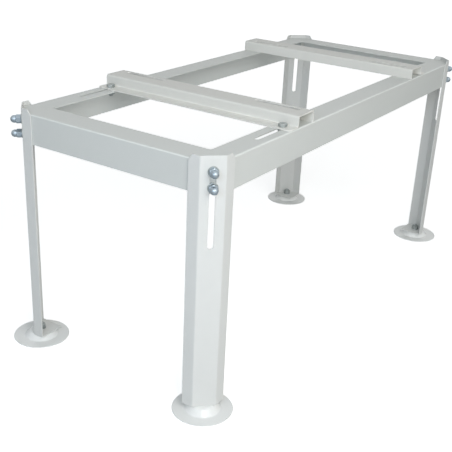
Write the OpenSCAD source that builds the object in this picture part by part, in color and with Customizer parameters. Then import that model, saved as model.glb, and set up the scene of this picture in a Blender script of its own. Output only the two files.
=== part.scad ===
// Equipment floor stand: a sheet-steel frame on four folded corner legs, with
// two crossbars that slide along slots in the long sides of the frame. Each
// leg slides up and down its corner of the frame, where two bolts clamp it,
// and stands on a pressed steel foot disc.
//
// +Z is up, +X runs along the long side and +Y along the short side. The
// origin is on the floor under the middle of the frame. Millimetres.

/* [Frame] */
// Length of the frame, outside
frame_l = 920; // [700:5:1200]
// Width of the frame, outside
frame_w = 400; // [320:5:600]
// Height of the top of the frame above the floor
frame_h = 420; // [380:5:500]
// Depth of the skirt that hangs from the top of the frame
skirt_h = 50; // [48:1:70]
// Width of the top flange along the long sides
long_flange_w = 42; // [34:1:60]
// Width of the top flange along the short sides
short_flange_w = 48; // [34:1:60]
// Thickness of the frame's sheet
frame_t = 2; // [1.5:0.5:3]
// Inside radius of the frame's folds
frame_bend_r = 1; // [0.5:0.5:3]
// Length of frame side that each corner chamfer takes away
chamfer = 25; // [22:1:30]
// Radius of the inner corners of the frame's window
window_r = 4; // [2:1:20]

/* [Legs] */
// Thickness of the leg's sheet
leg_t = 2; // [1.5:0.5:4]
// Inside radius of the leg's two folds
leg_bend_r = 2; // [1:0.5:2.5]
// Reach of each leg's flanges and foot plate from the frame's outer corner
leg_reach = 45; // [40:1:60]
// Height that the legs stand above the top of the frame
leg_rise = 7; // [4:1:15]
// Distance that the frame can be lowered on its legs
leg_travel = 90; // [40:1:120]
// Height of the slanted cut at the top of each leg flange
leg_cut_h = 10; // [4:1:14]
// Width of the slanted cut at the top of each leg flange
leg_cut_w = 7; // [3:1:12]
// Gap between the leg flanges and the frame's skirt
leg_gap = 0.3; // [0.3:0.1:1]
// Distance from the leg's diagonal panel to the middle of its foot
foot_inset = 10.6; // [10.6:0.1:14]

/* [Feet] */
// Diameter of the foot disc
foot_d = 98; // [80:1:130]
// Height of the foot disc, from the floor to the leg's foot plate
foot_h = 12; // [11:1:20]
// Thickness of the foot disc's sheet
foot_t = 2; // [1.5:0.5:3]
// Diameter of the bottom of the raised cone in the disc
cone_base_d = 59; // [52:1:70]
// Diameter of the flat top of the cone
cone_top_d = 40; // [30:1:46]
// Inside radius of the disc's two folds
foot_bend_r = 4; // [1:0.5:5]

/* [Crossbars] */
// Width of the top of a crossbar
bar_w = 50; // [40:1:80]
// Height of a crossbar
bar_h = 20; // [15:1:40]
// Width of the bolted flange of a crossbar
bar_flange_w = 25; // [20:1:40]
// Thickness of the crossbar's sheet
bar_t = 2; // [1.5:0.5:3]
// Inside radius of the crossbar's folds
bar_bend_r = 2; // [1:0.5:4]
// Distance from the frame's left end to the left crossbar's bolts
left_bar_at = 213; // [140:1:228]
// Distance from the frame's right end to the right crossbar's bolts
right_bar_at = 172; // [140:1:228]
// Radius of the corners of the bolted flange
flange_corner_r = 9; // [2:1:10]

/* [Slots] */
// Length of the slots in the long sides of the frame
frame_slot_l = 100; // [86:1:200]
// Distance from the end of the frame to its slots
frame_slot_at = 133; // [118:1:167]
// Distance from the frame's outer face to the middle of its slots
frame_slot_y = 21; // [16:1:26]
// Length of the mounting slots in the top of a crossbar
bar_slot_l = 87; // [40:1:120]
// Distance from the end of a crossbar to its mounting slots
bar_slot_at = 18; // [12:1:40]
// Distance from a crossbar's plain side to the middle of its slots
bar_slot_x = 13; // [11:1:25]

/* [Fasteners] */
// Thread diameter of every bolt
bolt_d = 8; // [6:0.5:8.5]
// Width of every slot and bolt hole
slot_w = 9; // [8.5:0.5:12]
// Width across the flats of the bolt heads and nuts
hex_af = 13; // [13:1:17]
// Height of the bolt heads
head_h = 5.3; // [4:0.1:7]
// Height of the plain hex nuts
nut_h = 6.8; // [5:0.1:9]
// Height of the hexagon of a dome nut
dome_hex_h = 8; // [5:0.5:10]
// Height of the dome on a dome nut
dome_h = 9; // [6.5:0.5:12]
// Diameter of the washers
washer_d = 16; // [15:0.5:20]
// Thickness of the washers
washer_t = 1.6; // [1:0.1:2.5]
// Depth of the upper leg bolt below the top of the frame
bolt_drop = 16; // [13:0.5:18]
// Distance between the two bolts of a leg
bolt_pitch = 24; // [20:0.5:26]

/* [Hidden] */
$fn = 48;

// Each corner of the frame as the signs of its x and y
FRONT_LEFT = [-1, -1];
FRONT_RIGHT = [1, -1];
BACK_LEFT = [-1, 1];
BACK_RIGHT = [1, 1];

// Outside radius of the frame's folds
frame_edge_r = frame_bend_r + frame_t;
// Length that such a fold of 45 degrees takes from the flat beside it
edge_run = frame_edge_r * tan(22.5);
// Clearance all round a bolt in its nut, for the threads
thread_gap = 0.05;
// Radial clearance of a washer round its bolt
washer_gap = 0.2;
// Length that a bolt stands out of a plain nut
bolt_stand_out = 3;
// Margin by which the cutting solids pass the faces they cut
past = 1;

// The leg's diagonal panel lies flat on the frame's chamfer. These are
// distances from the frame's sharp outer corner along the diagonal.
chamfer_depth = chamfer / sqrt(2);
leg_face_depth = chamfer_depth - leg_t;
// Height of the upper leg bolt, which is also the upper end of the leg's slot
bolt_z = frame_h - bolt_drop;
// Lower end of the slot, where the lower bolt stops
leg_slot_bottom = bolt_z - bolt_pitch - leg_travel;
// Middle of the foot, from the frame's outer faces
foot_at = (chamfer_depth + foot_inset) / sqrt(2);

// ---------------------------------------------------------------- helpers

// Children modelled at the frame's front left corner, set at another corner:
// x and y run inwards from the sharp outer corner
module at_corner(c) {
    translate([c.x * frame_l / 2, c.y * frame_w / 2, 0])
        mirror([c.x > 0 ? 1 : 0, 0, 0])
            mirror([0, c.y > 0 ? 1 : 0, 0])
                children();
}

// Part of a ring of inside radius r and wall t, from angle a through 'sweep'
module bend(r, t, a, sweep) {
    far = 2 * (r + t);
    intersection() {
        difference() {
            circle(r = r + t);
            circle(r = r);
        }
        polygon([
            [0, 0],
            far * [cos(a), sin(a)],
            far * [cos(a + sweep / 2), sin(a + sweep / 2)],
            far * [cos(a + sweep), sin(a + sweep)]
        ]);
    }
}

// Slot outline of width w between two round ends, along +X from its middle
module slot_2d(w, len) {
    square([len - w, w], center = true);
    for (s = [-1, 1])
        translate([s * (len - w) / 2, 0])
            circle(d = w);
}

// Everything that a square corner of size r has outside its inscribed arc
module corner_waste_2d(r) {
    difference() {
        translate([-past, -past])
            square(r + past);
        translate([r, r])
            circle(r = r);
    }
}

// Hexagonal blank on z = 0, with the corners of its upper end turned off
module hexagon(af, h) {
    face_d = 0.95 * af;
    intersection() {
        cylinder(d = af / cos(30), h = h, $fn = 6);
        translate([0, 0, -past])
            cylinder(d1 = face_d + 2 * (h + past) / tan(30), d2 = face_d,
                     h = h + past);
    }
}

// Hex bolt: its head's underside at z = 0, the shank running along +Z
module hex_bolt(len) {
    rotate([180, 0, 0])
        hexagon(hex_af, head_h);
    cylinder(d = bolt_d, h = len);
}

module washer() {
    difference() {
        cylinder(d = washer_d, h = washer_t);
        translate([0, 0, -past])
            cylinder(d = bolt_d + 2 * washer_gap, h = washer_t + 2 * past);
    }
}

module hex_nut() {
    difference() {
        intersection() {
            hexagon(hex_af, nut_h);
            translate([0, 0, nut_h])
                rotate([180, 0, 0])
                    hexagon(hex_af, nut_h);
        }
        translate([0, 0, -past])
            cylinder(d = bolt_d + 2 * thread_gap, h = nut_h + 2 * past);
    }
}

// Dome nut seated on z = 0, with a blind bore of the given depth
module dome_nut(bore) {
    round_d = hex_af - 0.5;
    difference() {
        union() {
            hexagon(hex_af, dome_hex_h);
            cylinder(d = round_d, h = dome_hex_h + dome_h - round_d / 2);
            translate([0, 0, dome_hex_h + dome_h - round_d / 2])
                sphere(d = round_d);
        }
        translate([0, 0, -past])
            cylinder(d = bolt_d + 2 * thread_gap, h = bore + past);
        // the sphere's lower half stays inside the hexagon
        translate([0, 0, -hex_af])
            cylinder(d = 2 * hex_af, h = hex_af);
    }
}

// ------------------------------------------------------------------ frame

// Children modelled with the frame's front side along the X axis, its outer
// face at y = 0 and its top at z = 0, set on side i of the frame: front,
// right, back, left
module on_side(i) {
    reach = i % 2 == 0 ? frame_w : frame_l;
    rotate([0, 0, 90 * i])
        translate([0, -reach / 2, frame_h])
            children();
}

// Children drawn in y and z across a side, drawn out along it for length len
module along_side(len) {
    rotate([90, 0, 90])
        linear_extrude(len, center = true)
            children();
}

// Top flange of one rail: side length l, flange width w. The window's end is
// end_w from the ends of the side, and the ends are mitred into its corners.
module rail_flange_2d(l, w, end_w) {
    half = l / 2;
    // centre of the window's corner
    wx = half - end_w - window_r;
    wy = w + window_r;
    difference() {
        union() {
            polygon([
                [-wx, wy],
                [-half + chamfer / 2, chamfer / 2],
                [-half + chamfer - edge_run / sqrt(2), edge_run / sqrt(2)],
                [-half + chamfer + edge_run, 0],
                [half - chamfer - edge_run, 0],
                [half - chamfer + edge_run / sqrt(2), edge_run / sqrt(2)],
                [half - chamfer / 2, chamfer / 2],
                [wx, wy]
            ]);
            for (s = [-1, 1])
                translate([s * (half - chamfer - edge_run), frame_edge_r])
                    circle(r = frame_edge_r);
        }
        for (s = [-1, 1])
            translate([s * wx, wy])
                circle(r = window_r);
        translate([-wx, w])
            square([2 * wx, window_r + past]);
    }
}

// Angle rail of the frame: a flange, a fold and a web
module rail(l, w, end_w) {
    web_l = l - 2 * (chamfer + edge_run);
    difference() {
        union() {
            translate([0, 0, -frame_t])
                linear_extrude(frame_t)
                    rail_flange_2d(l, w, end_w);
            along_side(web_l) {
                translate([0, -skirt_h])
                    square([frame_t, skirt_h - frame_t]);
                // inside of the fold
                translate([frame_t, -frame_edge_r])
                    difference() {
                        square(frame_bend_r);
                        translate([frame_bend_r, 0])
                            circle(r = frame_bend_r);
                    }
            }
        }
        // outside of the fold
        along_side(l)
            edge_waste_2d();
    }
}

// What the fold's outside radius takes off the frame's upper edge
module edge_waste_2d() {
    mirror([0, 1])
        corner_waste_2d(frame_edge_r);
}

module long_rail(i) {
    color([0.84, 0.84, 0.81])
        on_side(i)
            difference() {
                rail(frame_l, long_flange_w, short_flange_w);
                // slots for the crossbar bolts
                for (s = [-1, 1])
                    translate([s * (frame_l / 2 - frame_slot_at - frame_slot_l / 2),
                               frame_slot_y, -frame_t - past])
                        linear_extrude(frame_t + 2 * past)
                            slot_2d(slot_w, frame_slot_l);
            }
}

module short_rail(i) {
    color([0.84, 0.84, 0.81])
        on_side(i)
            rail(frame_w, short_flange_w, long_flange_w);
}

// Strip across the chamfer, folded at both ends to meet the rails' webs. It
// carries the leg bolts.
module corner_plate(c) {
    color([0.80, 0.80, 0.78])
        difference() {
            at_corner(c)
                difference() {
                    translate([0, 0, frame_h - skirt_h])
                        linear_extrude(skirt_h - frame_t)
                            folded_corner_2d(frame_t, chamfer_depth + frame_t,
                                             frame_t, frame_bend_r, 0);
                    at_leg_bolts(chamfer_depth - past)
                        cylinder(d = slot_w, h = frame_t + 2 * past);
                }
            for (i = [0 : 3])
                on_side(i)
                    along_side(frame_l)
                        edge_waste_2d();
        }
}

// ------------------------------------------------------------------- legs

// Children set at both leg bolts of the front left corner, with z = 0 at the
// given depth along the diagonal and +Z pointing into the frame
module at_leg_bolts(depth) {
    for (i = [0, 1])
        translate([depth / sqrt(2), depth / sqrt(2), bolt_z - i * bolt_pitch])
            rotate([0, 0, 45])
                rotate([0, 90, 0])
                    children();
}

// Section of a sheet folded round the chamfer, from the sharp outer corner of
// the frame at the origin: a diagonal panel and two folds, each with a flange
// as far as 'reach'. The inner faces of the flanges lie 'side' in from the
// frame's outer faces, and that of the panel 'depth' along the diagonal.
module folded_corner_2d(side, depth, t, r, reach) {
    // centre of the fold
    fy = side + r;
    fx = (depth + r) * sqrt(2) - fy;
    half = (fx - fy) / sqrt(2);
    for (m = [0, 1])
        mirror([m, -m]) {
            translate([fx, fy])
                bend(r, t, 225, 45);
            if (reach > fx)
                translate([fx, side - t])
                    square([reach - fx, t]);
        }
    rotate(45)
        translate([depth - t, -half])
            square([t, 2 * half]);
}

// Foot plate: the square inside the two flanges, less the corner that the
// diagonal panel cuts off. Its edges end in the thickness of the walls.
module foot_plate_2d() {
    o = leg_gap + leg_t / 2;
    d = (leg_face_depth + leg_t / 2) * sqrt(2);
    polygon([
        [d + o, -o],
        [leg_reach, -o],
        [leg_reach, leg_reach],
        [-o, leg_reach],
        [-o, d + o]
    ]);
}

module leg(c) {
    top = frame_h + leg_rise;
    slot_l = bolt_z - leg_slot_bottom + slot_w;
    color([0.88, 0.88, 0.86])
        at_corner(c)
            difference() {
                union() {
                    translate([0, 0, foot_h])
                        linear_extrude(top - foot_h)
                            folded_corner_2d(-leg_gap, chamfer_depth, leg_t,
                                             leg_bend_r, leg_reach);
                    translate([0, 0, foot_h])
                        linear_extrude(leg_t)
                            foot_plate_2d();
                }
                // height slot in the diagonal panel
                translate([0, 0, (bolt_z + leg_slot_bottom) / 2])
                    rotate([0, 0, 45])
                        rotate([0, 90, 0])
                            linear_extrude(2 * chamfer_depth)
                                slot_2d(slot_w, slot_l);
                // slanted cuts at the tops of the flanges
                for (m = [0, 1])
                    mirror([m, -m, 0])
                        translate([leg_reach, past, top])
                            rotate([90, 0, 0])
                                linear_extrude(leg_gap + leg_t + 2 * past)
                                    polygon([
                                        [-2 * leg_cut_w, leg_cut_h],
                                        [leg_cut_w, -2 * leg_cut_h],
                                        [leg_cut_w, leg_cut_h]
                                    ]);
                // hole for the foot bolt
                translate([foot_at, foot_at, foot_h - past])
                    cylinder(d = slot_w, h = leg_t + 2 * past);
            }
}

module leg_bolts(c) {
    // head inside the frame, shank out through chamfer, leg, washer and nut
    len = frame_t + leg_t + washer_t + dome_hex_h;
    color([0.72, 0.75, 0.80])
        at_corner(c)
            at_leg_bolts(chamfer_depth + frame_t)
                rotate([180, 0, 0])
                    hex_bolt(len);
}

module leg_washers(c) {
    color([0.72, 0.75, 0.80])
        at_corner(c)
            at_leg_bolts(leg_face_depth)
                rotate([180, 0, 0])
                    washer();
}

module dome_nuts(c) {
    color([0.66, 0.70, 0.78])
        at_corner(c)
            at_leg_bolts(leg_face_depth - washer_t)
                rotate([180, 0, 0])
                    dome_nut(dome_hex_h + 1);
}

// ------------------------------------------------------------------- feet

// Points along an arc of radius r about the point c, from angle a to angle b
function arc(c, r, a, b) = [
    for (i = [0 : 10]) c + r * [cos(a + (b - a) * i / 10), sin(a + (b - a) * i / 10)]
];

// Section of half the disc, in radius and height: a flat top under the leg's
// plate, a fold, the side of the cone, a second fold and a flat rim with a
// round edge. It runs along the upper face and back along the lower one.
module foot_2d() {
    top_r = cone_top_d / 2;
    base_r = cone_base_d / 2;
    rim_r = (foot_d - foot_t) / 2;
    slope = atan2(foot_h - foot_t, base_r - top_r);
    // outside radius of the folds, and their centres
    ro = foot_bend_r + foot_t;
    upper = [top_r - ro * tan(slope / 2), foot_h - ro];
    lower = [base_r + foot_bend_r * tan(slope / 2), ro];
    polygon(concat(
        [[slot_w / 2, foot_h]],
        arc(upper, ro, 90, 90 - slope),
        arc(lower, foot_bend_r, 270 - slope, 270),
        arc([rim_r, foot_t / 2], foot_t / 2, 90, -90),
        arc(lower, ro, 270, 270 - slope),
        arc(upper, foot_bend_r, 90 - slope, 90),
        [[slot_w / 2, foot_h - foot_t]]
    ));
}

// Pressed disc
module foot(c) {
    color([0.86, 0.86, 0.84])
        at_corner(c)
            translate([foot_at, foot_at, 0])
                rotate_extrude($fn = 96)
                    foot_2d();
}

module foot_bolt(c) {
    stack = foot_t + leg_t + washer_t + nut_h;
    color([0.72, 0.75, 0.80])
        at_corner(c)
            translate([foot_at, foot_at, foot_h - foot_t])
                hex_bolt(stack + bolt_stand_out);
}

module foot_washer(c) {
    color([0.72, 0.75, 0.80])
        at_corner(c)
            translate([foot_at, foot_at, foot_h + leg_t])
                washer();
}

module foot_nut(c) {
    color([0.72, 0.75, 0.80])
        at_corner(c)
            translate([foot_at, foot_at, foot_h + leg_t + washer_t])
                hex_nut();
}

// -------------------------------------------------------------- crossbars

// Children modelled for the left crossbar with its bolt line at x = 0, set
// on the frame. The right crossbar is the same bar turned end for end.
module at_bar(side) {
    at = side < 0 ? left_bar_at : right_bar_at;
    translate([side * (frame_l / 2 - at), 0, frame_h])
        rotate([0, 0, side < 0 ? 0 : 180])
            children();
}

// Children set at both bolts of a crossbar
module at_bar_bolts(z) {
    for (s = [-1, 1])
        translate([0, s * (frame_w / 2 - frame_slot_y), z])
            children();
}

// Section of a crossbar in x and z: bolted flange, web, top and plain web
module bar_section_2d() {
    r = bar_bend_r;
    ro = r + bar_t;
    // x of the flange's free edge, of the front web and of the plain web
    x0 = -bar_flange_w / 2;
    x1 = x0 + bar_flange_w;
    x2 = x1 + bar_w;
    translate([x0, 0])
        square([bar_flange_w - r, bar_t]);
    translate([x1 - r, ro])
        bend(r, bar_t, 270, 90);
    translate([x1, ro])
        square([bar_t, bar_h - 2 * ro]);
    translate([x1 + ro, bar_h - ro])
        bend(r, bar_t, 90, 90);
    translate([x1 + ro, bar_h - bar_t])
        square([bar_w - 2 * ro, bar_t]);
    translate([x2 - ro, bar_h - ro])
        bend(r, bar_t, 0, 90);
    translate([x2 - bar_t, 0])
        square([bar_t, bar_h - ro]);
}

module crossbar(side) {
    slot_x = bar_flange_w / 2 + bar_w - bar_slot_x;
    color([0.85, 0.85, 0.83])
        at_bar(side)
            difference() {
                rotate([90, 0, 0])
                    linear_extrude(frame_w, center = true)
                        bar_section_2d();
                // holes for the bolts through the frame
                at_bar_bolts(-past)
                    cylinder(d = slot_w, h = bar_t + 2 * past);
                for (s = [-1, 1]) {
                    // mounting slots in the top
                    translate([slot_x,
                               s * (frame_w / 2 - bar_slot_at - bar_slot_l / 2),
                               bar_h - bar_t - past])
                        linear_extrude(bar_t + 2 * past)
                            rotate(90)
                                slot_2d(slot_w, bar_slot_l);
                    // round corners of the flange
                    mirror([0, s > 0 ? 1 : 0, 0])
                        translate([-bar_flange_w / 2, -frame_w / 2, -past])
                            linear_extrude(bar_t + 2 * past)
                                corner_waste_2d(flange_corner_r);
                }
            }
}

module bar_bolts(side) {
    stack = bar_t + frame_t + washer_t + nut_h;
    color([0.72, 0.75, 0.80])
        at_bar(side)
            at_bar_bolts(bar_t)
                rotate([180, 0, 0])
                    hex_bolt(stack + bolt_stand_out);
}

module bar_washers(side) {
    color([0.72, 0.75, 0.80])
        at_bar(side)
            at_bar_bolts(-frame_t - washer_t)
                washer();
}

module bar_nuts(side) {
    color([0.72, 0.75, 0.80])
        at_bar(side)
            at_bar_bolts(-frame_t - washer_t - nut_h)
                hex_nut();
}

long_rail(0);  // rail_front
short_rail(1);  // rail_right
long_rail(2);  // rail_back
short_rail(3);  // rail_left
corner_plate(FRONT_LEFT);  // corner_plate_front_left
corner_plate(FRONT_RIGHT);  // corner_plate_front_right
corner_plate(BACK_LEFT);  // corner_plate_back_left
corner_plate(BACK_RIGHT);  // corner_plate_back_right
leg(FRONT_LEFT);  // leg_front_left
leg(FRONT_RIGHT);  // leg_front_right
leg(BACK_LEFT);  // leg_back_left
leg(BACK_RIGHT);  // leg_back_right
foot(FRONT_LEFT);  // foot_front_left
foot(FRONT_RIGHT);  // foot_front_right
foot(BACK_LEFT);  // foot_back_left
foot(BACK_RIGHT);  // foot_back_right
foot_bolt(FRONT_LEFT);  // foot_bolt_front_left
foot_bolt(FRONT_RIGHT);  // foot_bolt_front_right
foot_bolt(BACK_LEFT);  // foot_bolt_back_left
foot_bolt(BACK_RIGHT);  // foot_bolt_back_right
foot_washer(FRONT_LEFT);  // foot_washer_front_left
foot_washer(FRONT_RIGHT);  // foot_washer_front_right
foot_washer(BACK_LEFT);  // foot_washer_back_left
foot_washer(BACK_RIGHT);  // foot_washer_back_right
foot_nut(FRONT_LEFT);  // foot_nut_front_left
foot_nut(FRONT_RIGHT);  // foot_nut_front_right
foot_nut(BACK_LEFT);  // foot_nut_back_left
foot_nut(BACK_RIGHT);  // foot_nut_back_right
leg_bolts(FRONT_LEFT);  // leg_bolts_front_left
leg_bolts(FRONT_RIGHT);  // leg_bolts_front_right
leg_bolts(BACK_LEFT);  // leg_bolts_back_left
leg_bolts(BACK_RIGHT);  // leg_bolts_back_right
leg_washers(FRONT_LEFT);  // leg_washers_front_left
leg_washers(FRONT_RIGHT);  // leg_washers_front_right
leg_washers(BACK_LEFT);  // leg_washers_back_left
leg_washers(BACK_RIGHT);  // leg_washers_back_right
dome_nuts(FRONT_LEFT);  // dome_nuts_front_left
dome_nuts(FRONT_RIGHT);  // dome_nuts_front_right
dome_nuts(BACK_LEFT);  // dome_nuts_back_left
dome_nuts(BACK_RIGHT);  // dome_nuts_back_right
crossbar(-1);  // crossbar_left
crossbar(1);  // crossbar_right
bar_bolts(-1);  // bar_bolts_left
bar_bolts(1);  // bar_bolts_right
bar_washers(-1);  // bar_washers_left
bar_washers(1);  // bar_washers_right
bar_nuts(-1);  // bar_nuts_left
bar_nuts(1);  // bar_nuts_right
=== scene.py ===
import math

import bpy
from mathutils import Matrix, Vector


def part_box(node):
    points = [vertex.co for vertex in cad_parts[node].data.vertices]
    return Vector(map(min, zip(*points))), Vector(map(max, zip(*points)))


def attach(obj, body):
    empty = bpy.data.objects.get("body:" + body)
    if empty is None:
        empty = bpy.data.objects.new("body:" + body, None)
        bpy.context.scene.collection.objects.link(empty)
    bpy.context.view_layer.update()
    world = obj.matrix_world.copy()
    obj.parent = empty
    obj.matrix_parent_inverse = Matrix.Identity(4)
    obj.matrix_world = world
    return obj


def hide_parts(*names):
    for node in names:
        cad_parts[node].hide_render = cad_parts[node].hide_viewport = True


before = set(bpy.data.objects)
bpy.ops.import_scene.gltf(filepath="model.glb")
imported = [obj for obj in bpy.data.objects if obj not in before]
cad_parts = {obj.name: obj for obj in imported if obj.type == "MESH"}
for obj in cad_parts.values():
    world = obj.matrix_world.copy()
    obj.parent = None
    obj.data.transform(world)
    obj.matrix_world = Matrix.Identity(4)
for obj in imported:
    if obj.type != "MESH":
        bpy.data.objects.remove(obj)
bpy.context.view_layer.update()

# The camera stands a little above the stand and off its front left corner,
# turned down and slightly rolled, as a hand-held camera is.
heading = math.radians(33.2)
tilt = math.radians(23.6)
roll = math.radians(2.79)
sight = Vector(
    (
        math.cos(heading) * math.cos(tilt),
        math.sin(heading) * math.cos(tilt),
        -math.sin(tilt),
    )
)
level = Vector((math.sin(heading), -math.cos(heading), 0))
over = level.cross(sight)
right = math.cos(roll) * level + math.sin(roll) * over
above = math.cos(roll) * over - math.sin(roll) * level
bpy.ops.object.camera_add()
camera = bpy.context.object
camera.name = "camera"
camera.matrix_world = Matrix((right, above, -sight)).transposed().to_4x4()
camera.location = (-1.3085, -0.7766, 0.7780)
camera.data.lens = 63.8
camera.data.sensor_width = 36
camera.data.clip_start = 0.05
camera.data.clip_end = 50
bpy.context.scene.camera = camera
bpy.context.scene.view_settings.view_transform = "Standard"

# The studio is a white paper floor under a white surround. A large softbox
# stands to the front and a small cooler key lamp to the left. A weak lamp
# beside the camera and one overhead fill in.
bpy.ops.object.select_all(action="DESELECT")
bpy.ops.mesh.primitive_plane_add(size=24, location=(0, 0, 0))
floor = bpy.context.object
floor.name = "floor"
paper = bpy.data.materials.new("paper")
paper.use_nodes = True
nodes, links = paper.node_tree.nodes, paper.node_tree.links
sheet = nodes["Principled BSDF"]
sheet.inputs["Base Color"].default_value = (0.86, 0.86, 0.86, 1)
sheet.inputs["Roughness"].default_value = 0.9
sheet.inputs["Specular IOR Level"].default_value = 0.1
path = nodes.new("ShaderNodeLightPath")
spot = nodes.new("ShaderNodeTexCoord")
distance = nodes.new("ShaderNodeVectorMath")
distance.operation = "LENGTH"
links.new(spot.outputs["Object"], distance.inputs[0])
falloff = nodes.new("ShaderNodeMapRange")
falloff.inputs["From Min"].default_value = 0.7
falloff.inputs["From Max"].default_value = 3.0
falloff.inputs["To Min"].default_value = 0.60
falloff.inputs["To Max"].default_value = 0.82
links.new(distance.outputs["Value"], falloff.inputs["Value"])
glow = nodes.new("ShaderNodeEmission")
links.new(falloff.outputs["Result"], glow.inputs["Strength"])
lit = nodes.new("ShaderNodeAddShader")
seen = nodes.new("ShaderNodeMixShader")
links.new(sheet.outputs[0], lit.inputs[0])
links.new(glow.outputs[0], lit.inputs[1])
links.new(path.outputs["Is Camera Ray"], seen.inputs[0])
links.new(sheet.outputs[0], seen.inputs[1])
links.new(lit.outputs[0], seen.inputs[2])
links.new(seen.outputs[0], nodes["Material Output"].inputs["Surface"])
floor.data.materials.append(paper)

world = bpy.data.worlds.new("surround")
bpy.context.scene.world = world
world.use_nodes = True
nodes, links = world.node_tree.nodes, world.node_tree.links
nodes.clear()
path = nodes.new("ShaderNodeLightPath")
camera_or_gloss = nodes.new("ShaderNodeMath")
camera_or_gloss.operation = "MAXIMUM"
links.new(path.outputs["Is Camera Ray"], camera_or_gloss.inputs[0])
links.new(path.outputs["Is Glossy Ray"], camera_or_gloss.inputs[1])
or_glass = nodes.new("ShaderNodeMath")
or_glass.operation = "MAXIMUM"
links.new(camera_or_gloss.outputs[0], or_glass.inputs[0])
links.new(path.outputs["Is Transmission Ray"], or_glass.inputs[1])
lighting = nodes.new("ShaderNodeBackground")
lighting.inputs["Color"].default_value = (0.94, 0.99, 1.0, 1)
lighting.inputs["Strength"].default_value = 0.29
backdrop = nodes.new("ShaderNodeBackground")
backdrop.inputs["Color"].default_value = (1, 1, 1, 1)
backdrop.inputs["Strength"].default_value = 1.0
mixed = nodes.new("ShaderNodeMixShader")
output = nodes.new("ShaderNodeOutputWorld")
links.new(or_glass.outputs[0], mixed.inputs[0])
links.new(lighting.outputs[0], mixed.inputs[1])
links.new(backdrop.outputs[0], mixed.inputs[2])
links.new(mixed.outputs[0], output.inputs[0])

lamps_aim = Vector((0, 0, 0.3))
for name, place, size, watts, tint in (
    ("softbox", (-1.29, -1.84, 1.5), 2.2, 30.2, (1.0, 0.99, 0.965)),
    ("key", (-2.2, -0.6, 1.15), 0.5, 9.2, (0.68, 0.82, 1.0)),
    ("near", (-1.03, -0.93, 1.1), 0.4, 2.6, (1.0, 1.0, 1.0)),
    ("overhead", (0, 0, 3.1), 2.4, 6, (1.0, 1.0, 1.0)),
):
    bpy.ops.object.light_add(type="AREA", location=place)
    lamp = bpy.context.object
    lamp.name = name
    lamp.data.size = size
    lamp.data.energy = watts
    lamp.data.color = tint
    lamp.rotation_euler = (lamps_aim - Vector(place)).to_track_quat("-Z", "Y").to_euler()


# Rails: four angles folded from steel sheet, mitred and welded at the
# corners, and ground flush on top. The whole frame is powder-coated in one
# pale warm grey, which rounds every cut edge a little.
class Signal:
    """An output of a node, with the arithmetic that a finish needs."""

    def __init__(self, finish, socket):
        self.finish = finish
        self.socket = socket

    def __add__(self, other):
        return self.finish.math("ADD", self, other)

    def __radd__(self, other):
        return self.finish.math("ADD", other, self)

    def __sub__(self, other):
        return self.finish.math("SUBTRACT", self, other)

    def __rsub__(self, other):
        return self.finish.math("SUBTRACT", other, self)

    def __mul__(self, other):
        return self.finish.math("MULTIPLY", self, other)

    def __rmul__(self, other):
        return self.finish.math("MULTIPLY", other, self)


class Finish:
    """A material being mixed: its nodes, and the shader that they feed."""

    def __init__(self, name):
        self.material = bpy.data.materials.new(name)
        self.material.use_nodes = True
        self.tree = self.material.node_tree
        self.shader = self.tree.nodes["Principled BSDF"]
        self.place = self.node("TexCoord", {}, {}, "Object")

    def node(self, kind, settings, sockets, output=0):
        made = self.tree.nodes.new("ShaderNode" + kind)
        for name, value in settings.items():
            setattr(made, name, value)
        for name, value in sockets.items():
            self.feed(made.inputs[name], value)
        return Signal(self, made.outputs[output])

    def feed(self, socket, value):
        if isinstance(value, Signal):
            self.tree.links.new(value.socket, socket)
        else:
            socket.default_value = value

    def coat(self, **sockets):
        for name, value in sockets.items():
            self.feed(self.shader.inputs[name.replace("_", " ")], value)
        return self.material

    def math(self, operation, first, second):
        return self.node("Math", {"operation": operation}, {0: first, 1: second})

    def blend(self, factor, first, second):
        return self.node("Mix", {"data_type": "RGBA"}, {0: factor, 6: first, 7: second}, 2)

    def noise(self, scale, detail):
        return self.node("TexNoise", {}, {"Vector": self.place, "Scale": scale, "Detail": detail})

    def rounded(self, radius):
        return self.node("Bevel", {"samples": 6}, {"Radius": radius})

    def edges(self, rounded):
        """Near 1 where the surface turns sharply, and 0 where it is flat."""
        flat = self.node("NewGeometry", {}, {}, "Normal")
        facing = self.node(
            "VectorMath", {"operation": "DOT_PRODUCT"}, {0: rounded, 1: flat}, "Value"
        )
        return self.math("MINIMUM", (1 - facing) * 5, 1.0)


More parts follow.
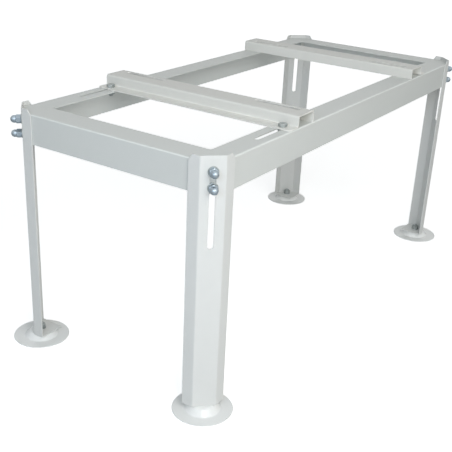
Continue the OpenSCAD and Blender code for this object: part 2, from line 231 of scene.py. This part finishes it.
def powder_coat(name, colour, roughness, fold_highlight_gain, top_shade=1, top_shade_above=0.0):
    """A coat in soft clouds of one colour, with a painted highlight along the folds:
    the colour is scaled paler where faces turn 45 degrees from level.

    Faces that look up, above the given height, take the plain colour times
    the top factor, without the clouds: painted shade on the tops.
    """
    coat = Finish(name)
    clouds = coat.noise(6, 3)
    drift = coat.noise(70, 3)
    grains = coat.noise(1300, 2)
    peel = coat.noise(520, 1)
    rounded = coat.rounded(0.0008)
    edges = coat.edges(rounded)
    deep = [channel * 0.95 for channel in colour] + [1]
    pale = [channel * 1.05 for channel in colour] + [1]
    thin = [channel * 1.08 for channel in colour] + [1]
    painted_fold_highlight = [channel * fold_highlight_gain for channel in colour] + [1]
    darker_tone = [channel * top_shade for channel in colour] + [1]
    turn = coat.node("SeparateXYZ", {}, {"Vector": coat.node("NewGeometry", {}, {}, "Normal")}, "Z")
    # Painted highlight: faces turned about 45 degrees from level, as at the folds, are painted
    # paler.
    fold_highlight_mask = 4 * (turn * turn) * (1 - turn * turn)
    body = coat.blend(0.5 * clouds + 0.3 * drift + 0.2 * grains, deep, pale)
    body = coat.blend(fold_highlight_mask, body, painted_fold_highlight)
    height = coat.node("SeparateXYZ", {}, {"Vector": coat.place}, "Z")
    # Painted shade: up-facing faces above the given height are painted darker, without the clouds.
    top_shade_mask = coat.math("MAXIMUM", turn, 0.0) * coat.math("GREATER_THAN", height, top_shade_above)
    body = coat.blend(top_shade_mask * top_shade_mask * top_shade_mask, body, darker_tone)
    return coat.coat(
        Base_Color=coat.blend(0.4 * edges, body, thin),
        Roughness=roughness - 0.08 + 0.12 * drift + 0.05 * grains - 0.06 * edges - 0.12 * fold_highlight_mask,
        Normal=coat.node(
            "Bump",
            {},
            {
                "Strength": 0.35,
                "Distance": 0.00006,
                "Height": peel + 0.25 * grains,
                "Normal": rounded,
            },
        ),
    )


cut_edge_radius = 0.0003


def dressed(node, body, finish):
    """A copy of a CAD node, its triangles joined into whole faces and its cut edges rounded."""
    bpy.ops.object.select_all(action="DESELECT")
    piece = bpy.data.objects.new(node + "_coated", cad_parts[node].data.copy())
    bpy.context.collection.objects.link(piece)
    bpy.context.view_layer.objects.active = piece
    piece.select_set(True)
    bpy.ops.object.mode_set(mode="EDIT")
    bpy.ops.mesh.select_all(action="SELECT")
    bpy.ops.mesh.remove_doubles(threshold=0.00002)
    bpy.ops.mesh.dissolve_limited(angle_limit=math.radians(0.5))
    bpy.ops.object.mode_set(mode="OBJECT")
    edge = piece.modifiers.new("edge", "BEVEL")
    edge.limit_method = "ANGLE"
    edge.angle_limit = math.radians(50)
    edge.width = cut_edge_radius
    edge.segments = 2
    edge.miter_outer = "MITER_ARC"
    bpy.ops.object.modifier_apply(modifier="edge")
    bpy.ops.object.shade_smooth_by_angle(angle=math.radians(35))
    even = piece.modifiers.new("even", "WEIGHTED_NORMAL")
    even.keep_sharp = True
    even.weight = 100
    bpy.ops.object.modifier_apply(modifier="even")
    piece.data.materials.clear()
    piece.data.materials.append(finish)
    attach(piece, body)
    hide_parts(node)


# The frame's coat carries a painted highlight, 1.25 times paler, along its folds.
frame_grey = powder_coat("frame_grey", (0.648, 0.664, 0.641), 0.44, 1.25)
for side in ("front", "back", "left", "right"):
    dressed("rail_" + side, "frame", frame_grey)


# Corner plates: a strip of the same sheet, folded to close each chamfered
# corner of the frame. It is welded to both rails from inside before the frame
# is coated.
corners = {
    "front_left": Vector((-1, -1, 0)),
    "front_right": Vector((1, -1, 0)),
    "back_left": Vector((-1, 1, 0)),
    "back_right": Vector((1, 1, 0)),
}
for corner in corners:
    dressed("corner_plate_" + corner, "frame", frame_grey)


# Weld beads: short runs that join the corner plates to the rails' webs, and
# the rails' flanges to each other, on the inside only. Each is laid as a row
# of overlapping ripples, and the coat covers it.
ripple = 0.0018
bead_radius = 0.0024
upright_start = 0.007
seam_inset_x = 0.0145
seam_inset_y = 0.0135
mitre_margin = 0.15


def bead(name, ripples):
    """A run of weld along +Z from the origin, raised towards +X."""
    bpy.ops.object.select_all(action="DESELECT")
    bpy.ops.mesh.primitive_ico_sphere_add(subdivisions=3, radius=bead_radius, location=(0, 0, 0))
    run = bpy.context.object
    run.name = name
    bpy.ops.object.mode_set(mode="EDIT")
    bpy.ops.mesh.select_all(action="SELECT")
    bpy.ops.transform.resize(value=(0.55, 1, 0.75))
    bpy.ops.object.mode_set(mode="OBJECT")
    row = run.modifiers.new("row", "ARRAY")
    row.count = ripples
    row.use_relative_offset = False
    row.use_constant_offset = True
    row.constant_offset_displace = (0, 0, ripple)
    fused = run.modifiers.new("fused", "REMESH")
    fused.mode = "VOXEL"
    fused.voxel_size = 0.0004
    settled = run.modifiers.new("settled", "SMOOTH")
    settled.factor = 0.5
    settled.iterations = 2
    for modifier in ("row", "fused", "settled"):
        bpy.ops.object.modifier_apply(modifier=modifier)
    bpy.ops.object.shade_smooth()
    return run


def laid(run, name, start, along, raised):
    """A copy of a weld, from start in the direction along, raised from the sheet."""
    bpy.ops.object.select_all(action="DESELECT")
    weld = bpy.data.objects.new(name, run.data.copy())
    bpy.context.collection.objects.link(weld)
    turn = Matrix((raised, along.cross(raised), along)).transposed().to_4x4()
    weld.matrix_world = Matrix.Translation(start) @ turn
    bpy.context.view_layer.objects.active = weld
    weld.select_set(True)
    bpy.ops.object.transform_apply(location=True, rotation=True, scale=True)
    weld.data.materials.append(frame_grey)
    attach(weld, "frame")


upright_run = bead("upright_run", 19)
mitre_run = bead("mitre_run", 15)
sheet_thickness = 0.002
for corner, out in corners.items():
    low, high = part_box("corner_plate_" + corner)
    reach = Vector([high[axis] if out[axis] > 0 else low[axis] for axis in (0, 1)] + [low[2]])
    inner = Vector([low[axis] if out[axis] > 0 else high[axis] for axis in (0, 1)] + [low[2]])
    start = low[2] + upright_start
    laid(
        upright_run,
        "weld_long_" + corner,
        (inner.x, reach.y - out.y * sheet_thickness, start),
        Vector((0, 0, 1)),
        Vector((0, -out.y, 0)),
    )
    laid(
        upright_run,
        "weld_short_" + corner,
        (reach.x - out.x * sheet_thickness, inner.y, start),
        Vector((0, 0, 1)),
        Vector((-out.x, 0, 0)),
    )
    short_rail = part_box("rail_right" if out.x > 0 else "rail_left")
    long_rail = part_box("rail_back" if out.y > 0 else "rail_front")
    window_x = short_rail[0 if out.x > 0 else 1].x
    window_y = long_rail[0 if out.y > 0 else 1].y
    seam_end = Vector((window_x, window_y, high[2]))
    seam_start = Vector(
        (reach.x - out.x * seam_inset_x, reach.y - out.y * seam_inset_y, high[2])
    )
    laid(
        mitre_run,
        "weld_mitre_" + corner,
        seam_start.lerp(seam_end, mitre_margin),
        (seam_end - seam_start).normalized(),
        Vector((0, 0, -1)),
    )
for run in (upright_run, mitre_run):
    bpy.data.objects.remove(run)


# Legs: folded twice from steel sheet, with a slot punched down the diagonal
# panel and a foot plate folded in at the bottom. They are coated on their own,
# a shade paler than the frame.
# The legs' folds carry a faint painted highlight, 1.05 times paler.
leg_grey = powder_coat("leg_grey", (0.702, 0.708, 0.688), 0.40, 1.05)
for corner in corners:
    dressed("leg_" + corner, "leg_" + corner, leg_grey)


# Foot discs: pressed from steel sheet into a shallow cone with a flat rim,
# which keeps a leg from sinking into soft ground, and coated glossy.
foot_grey = powder_coat("foot_grey", (0.870, 0.878, 0.860), 0.30, 1.0)
for corner in corners:
    dressed("foot_" + corner, "leg_" + corner, foot_grey)


# Foot bolts: M8 hexagon bolts of blue zinc-plated steel. Each is turned, its
# head cut to a hexagon and its thread cut all along, in millimetres, and it
# goes up through the disc and the leg's plate.
millimetre = 0.001
facets = 72
across_flats = 13
head_height = 5.3
thread_pitch = 1.25
thread_start = 1.1


def zinc_plate(name, colour, tint, roughness):
    coat = Finish(name)
    clouds = coat.noise(45, 3)
    stains = coat.noise(170, 4)
    grains = coat.noise(2200, 2)
    rounded = coat.rounded(0.0003)
    edges = coat.edges(rounded)
    darker_tone = [channel * 0.86 for channel in colour] + [1]
    bright = [channel * 1.12 for channel in colour] + [1]
    worn = [channel * 1.35 for channel in colour] + [1]
    plate = coat.blend(0.6 * clouds + 0.4 * grains, darker_tone, bright)
    passivated = coat.blend(stains * stains * 0.7, plate, list(tint) + [1])
    return coat.coat(
        Base_Color=coat.blend(0.45 * edges, passivated, worn),
        Metallic=1,
        Roughness=roughness - 0.07 + 0.16 * stains + 0.06 * grains - 0.05 * edges,
        Normal=coat.node(
            "Bump",
            {},
            {
                "Strength": 0.3,
                "Distance": 0.00003,
                "Height": grains + stains,
                "Normal": rounded,
            },
        ),
    )


def turned(name, outline):
    """A solid turned on the Z axis, from the radius and height of each step up its outline."""
    bpy.ops.object.select_all(action="DESELECT")
    before, height = outline[0]
    bpy.ops.mesh.primitive_circle_add(
        vertices=facets, radius=before, fill_type="NGON", location=(0, 0, height)
    )
    solid = bpy.context.object
    solid.name = name
    bpy.ops.object.transform_apply(location=True, rotation=True, scale=True)
    bpy.ops.object.mode_set(mode="EDIT")
    bpy.ops.mesh.select_all(action="SELECT")
    for radius, level in outline[1:]:
        bpy.ops.mesh.extrude_region_move(TRANSFORM_OT_translate={"value": (0, 0, level - height)})
        bpy.ops.transform.resize(
            value=(radius / before, radius / before, 1), center_override=(0, 0, level)
        )
        before, height = radius, level
    bpy.ops.mesh.select_all(action="SELECT")
    bpy.ops.mesh.normals_make_consistent(inside=False)
    bpy.ops.object.mode_set(mode="OBJECT")
    return solid


def combined(solid, tool, operation):
    """A solid cut by a tool, which is used up."""
    cut = solid.modifiers.new("cut", "BOOLEAN")
    cut.operation = operation
    cut.solver = "EXACT"
    cut.object = tool
    bpy.ops.object.select_all(action="DESELECT")
    bpy.context.view_layer.objects.active = solid
    solid.select_set(True)
    bpy.ops.object.modifier_apply(modifier="cut")
    bpy.data.objects.remove(tool)


def hexagonal(solid, middle, depth):
    """Cuts a turned solid to a hexagon, with a corner on +X."""
    bpy.ops.object.select_all(action="DESELECT")
    bpy.ops.mesh.primitive_cylinder_add(
        vertices=6,
        radius=across_flats / math.sqrt(3),
        depth=depth,
        location=(0, 0, middle),
        rotation=(0, 0, math.radians(30)),
    )
    bar = bpy.context.object
    bpy.ops.object.transform_apply(location=True, rotation=True, scale=True)
    combined(solid, bar, "INTERSECT")


def threaded(solid, start, turns):
    """Cuts a thread of 60 degrees into a turned solid, upwards from start."""
    groove_size = 0.69
    groove_radius = 3.9
    steps_a_turn = 24
    bpy.ops.object.select_all(action="DESELECT")
    bpy.ops.mesh.primitive_circle_add(
        vertices=3,
        radius=groove_size,
        location=(groove_radius, 0, start),
        rotation=(math.pi / 2, -math.pi / 2, 0),
    )
    tool = bpy.context.object
    bpy.ops.object.transform_apply(location=True, rotation=True, scale=True)
    helix = tool.modifiers.new("helix", "SCREW")
    helix.axis = "Z"
    helix.screw_offset = thread_pitch
    helix.iterations = turns
    helix.steps = helix.render_steps = steps_a_turn
    bpy.ops.object.modifier_apply(modifier="helix")
    bpy.ops.object.mode_set(mode="EDIT")
    bpy.ops.mesh.select_all(action="SELECT")
    bpy.ops.mesh.fill_holes(sides=3)
    bpy.ops.mesh.select_all(action="SELECT")
    bpy.ops.mesh.normals_make_consistent(inside=False)
    bpy.ops.object.mode_set(mode="OBJECT")
    combined(solid, tool, "DIFFERENCE")


def bolt(name, length):
    """A bolt with its head below the origin and its thread above."""
    solid = turned(
        name,
        (
            (4.2, -5.1),
            (4.7, -head_height),
            (6.2, -head_height),
            (7.6, -4.5),
            (7.6, -0.9),
            (6.6, -0.3),
            (5.9, -0.3),
            (5.9, 0),
            (3.97, 0),
            (3.97, length - 0.9),
            (3.2, length),
        ),
    )
    hexagonal(solid, length / 2, length + 20)
    threaded(solid, thread_start, math.ceil(length / thread_pitch))
    return solid


def fitted(blank, name, seat, axis, corner, body, finish, replaced):
    """A copy of a fastener on its seat.

    Its own Z axis lies along axis, and a corner of its hexagon points to corner.
    """
    bpy.ops.object.select_all(action="DESELECT")
    piece = bpy.data.objects.new(name, blank.data.copy())
    bpy.context.collection.objects.link(piece)
    turn = Matrix((corner, axis.cross(corner), axis)).transposed().to_4x4()
    piece.matrix_world = Matrix.Translation(seat) @ turn @ Matrix.Scale(millimetre, 4)
    bpy.context.view_layer.objects.active = piece
    piece.select_set(True)
    bpy.ops.object.transform_apply(location=True, rotation=True, scale=True)
    bpy.ops.object.shade_smooth_by_angle(angle=math.radians(28))
    piece.data.materials.append(finish)
    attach(piece, body)
    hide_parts(replaced)


up = Vector((0, 0, 1))
lengthwise = Vector((1, 0, 0))
zinc = zinc_plate("zinc", (0.38, 0.42, 0.43), (0.45, 0.44, 0.38), 0.42)
foot_bolt = bolt("foot_bolt", 15.4)
for corner in corners:
    low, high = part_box("foot_bolt_" + corner)
    middle = (low + high) / 2
    fitted(
        foot_bolt,
        "foot_bolt_m8_" + corner,
        (middle.x, middle.y, low.z + head_height * millimetre),
        up,
        lengthwise,
        "leg_" + corner,
        zinc,
        "foot_bolt_" + corner,
    )


# Foot washers: plain punched M8 washers under the foot nuts. The punch rolls
# the edges over, and all the stand's washers are alike.
washer_width = 3.8
washer_thickness = 1.6
washer_middle = (6.1, 0, washer_thickness / 2)
bpy.ops.object.select_all(action="DESELECT")
bpy.ops.mesh.primitive_plane_add(size=1, location=washer_middle, rotation=(math.pi / 2, 0, 0))
washer = bpy.context.object
washer.name = "washer"
bpy.ops.object.transform_apply(location=True, rotation=True, scale=True)
bpy.ops.object.mode_set(mode="EDIT")
bpy.ops.mesh.select_all(action="SELECT")
bpy.ops.transform.resize(
    value=(washer_width, 1, washer_thickness), center_override=washer_middle
)
bpy.ops.mesh.bevel(offset=0.22, segments=3, affect="VERTICES")
bpy.ops.mesh.select_all(action="SELECT")
bpy.ops.mesh.delete(type="ONLY_FACE")
bpy.ops.mesh.select_all(action="SELECT")
bpy.ops.mesh.spin(steps=64, angle=2 * math.pi, center=(0, 0, 0), axis=(0, 0, 1))
bpy.ops.mesh.select_all(action="SELECT")
bpy.ops.mesh.remove_doubles(threshold=0.001)
bpy.ops.mesh.normals_make_consistent(inside=False)
bpy.ops.object.mode_set(mode="OBJECT")
for corner in corners:
    low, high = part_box("foot_washer_" + corner)
    middle = (low + high) / 2
    fitted(
        washer,
        "foot_washer_m8_" + corner,
        (middle.x, middle.y, low.z),
        up,
        lengthwise,
        "leg_" + corner,
        zinc,
        "foot_washer_" + corner,
    )


# Foot nuts: M8 hexagon nuts, chamfered at both ends and countersunk, tightened
# down on the washers.
nut_height = 6.8
nut = turned("nut", ((6.2, 0), (7.6, 0.8), (7.6, nut_height - 0.8), (6.2, nut_height)))
hexagonal(nut, nut_height / 2, 20)
bore = turned(
    "bore",
    (
        (4.75, -0.1),
        (4.75, 0),
        (4.08, 0.67),
        (4.08, nut_height - 0.67),
        (4.75, nut_height),
        (4.75, nut_height + 0.1),
    ),
)
combined(nut, bore, "DIFFERENCE")
for corner in corners:
    low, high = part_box("foot_nut_" + corner)
    middle = (low + high) / 2
    fitted(
        nut,
        "foot_nut_m8_" + corner,
        (middle.x, middle.y, low.z),
        up,
        lengthwise,
        "leg_" + corner,
        zinc,
        "foot_nut_" + corner,
    )


# Leg bolts, washers and dome nuts: two of each to a corner. A bolt has its
# head inside the frame and goes out through plate, leg slot and washer, and a
# bright domed cap nut covers its end.
half_washer = washer_thickness / 2 * millimetre
washer_radius = 0.008
under_head_to_middle = 2 * sheet_thickness + half_washer
dome_radius = 6.15
dome_base = 10.85
leg_bolt = bolt("leg_bolt", 13.6)
dome = turned(
    "dome",
    (
        (6.2, 0),
        (7.6, 0.8),
        (7.6, 7.2),
        (6.2, 8.0),
        (5.85, 8.0),
        (5.85, 8.4),
        (dome_radius, 8.6),
        (dome_radius, dome_base),
    )
    + tuple(
        (
            dome_radius * math.cos(math.radians(angle)),
            dome_base + dome_radius * math.sin(math.radians(angle)),
        )
        for angle in (8, 16, 24, 32, 40, 48, 56, 64, 72, 79, 85, 88)
    ),
)
hexagonal(dome, 5, 40)
bore = turned("bore", ((4.75, -0.1), (4.75, 0), (4.08, 0.67), (4.08, 9.0)))
combined(dome, bore, "DIFFERENCE")
bright_zinc = zinc_plate("bright_zinc", (0.33, 0.40, 0.46), (0.42, 0.42, 0.38), 0.42)
for corner, out in corners.items():
    outward = out.normalized()
    low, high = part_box("leg_washers_" + corner)
    middle = (low + high) / 2
    for place, level in (
        ("lower", low.z + washer_radius),
        ("upper", high.z - washer_radius),
    ):
        centre = Vector((middle.x, middle.y, level))
        under_head = centre - outward * under_head_to_middle
        inner_face = centre - outward * half_washer
        outer_face = centre + outward * half_washer
        for blank, name, seat, finish, slot, replaced in (
            (leg_bolt, "leg_bolt_m8_", under_head, zinc, "zinc", "leg_bolts_"),
            (washer, "leg_washer_m8_", inner_face, zinc, "zinc", "leg_washers_"),
            (dome, "dome_nut_m8_", outer_face, bright_zinc, "zinc_bright", "dome_nuts_"),
        ):
            fitted(
                blank,
                name + place + "_" + corner,
                seat,
                outward,
                up,
                "frame",
                finish,
                replaced + corner,
            )


# Crossbars: folded into a low hat with one bolted flange, slotted along the
# top for the machine's feet, and coated a little warmer than the frame. The
# up-facing top is painted darker than the sides, as painted shade.
low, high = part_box("crossbar_left")
# The crossbars' folds carry a faint painted highlight, 1.03 times paler.
bar_grey = powder_coat(
    "bar_grey",
    (0.755, 0.752, 0.712),
    0.42,
    1.03,
    # Painted shade: the up-facing top is painted 0.85 times as bright as the sides.
    top_shade=0.85,
    top_shade_above=(low.z + high.z) / 2,
)
for side in ("left", "right"):
    dressed("crossbar_" + side, "bar_" + side, bar_grey)


# Crossbar bolts, washers and nuts: one M8 bolt through each end of a
# crossbar's flange and the slot in the rail below, with a washer and a nut
# under the rail.
hexagon_half = across_flats / 2 * millimetre
for side in ("left", "right"):
    low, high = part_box("bar_bolts_" + side)
    under_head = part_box("crossbar_" + side)[0].z + sheet_thickness
    washer_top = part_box("bar_washers_" + side)[1].z
    nut_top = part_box("bar_nuts_" + side)[1].z
    for place, across in (("front", low.y + hexagon_half), ("back", high.y - hexagon_half)):
        centre = Vector(((low.x + high.x) / 2, across, 0))
        for blank, name, level, replaced in (
            (foot_bolt, "bar_bolt_m8_", under_head, "bar_bolts_"),
            (washer, "bar_washer_m8_", washer_top, "bar_washers_"),
            (nut, "bar_nut_m8_", nut_top, "bar_nuts_"),
        ):
            fitted(
                blank,
                name + place + "_" + side,
                centre + up * level,
                -up,
                lengthwise,
                "bar_" + side,
                zinc,
                replaced + side,
            )
for blank in (foot_bolt, washer, nut, leg_bolt, dome):
    bpy.data.objects.remove(blank)
